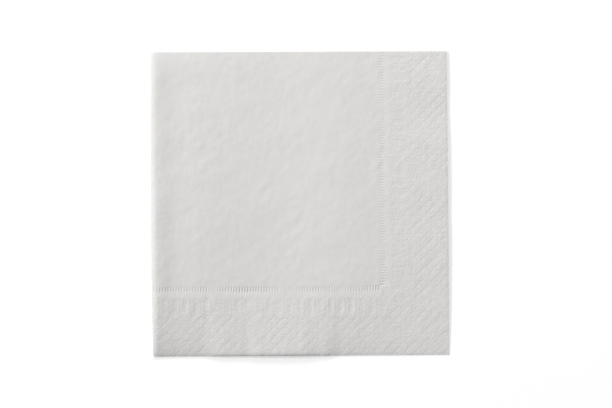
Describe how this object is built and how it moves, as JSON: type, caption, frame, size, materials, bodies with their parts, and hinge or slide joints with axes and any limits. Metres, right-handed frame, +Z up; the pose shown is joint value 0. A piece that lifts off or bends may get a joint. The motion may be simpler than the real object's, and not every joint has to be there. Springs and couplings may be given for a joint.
{
  "type": "paper napkin",
  "caption": "Flat paper napkin: an embossed tissue sheet folded in half and in half again, with a pressed border of diamonds, ovals and ticks along its cut edges.",
  "frame": {"origin": "middle of the napkin's underside, on the surface it lies on", "axes": "+X from the last fold to the right-hand cut edges, +Y from the front cut edges to the first fold, +Z up from the surface"},
  "size_m": [0.16, 0.164, 0.003],
  "materials": {
    "tissue": "matt, softly creped white tissue"
  },
  "bodies": {
    "root": {"napkin": "tissue"}
  },
  "joints": []
}
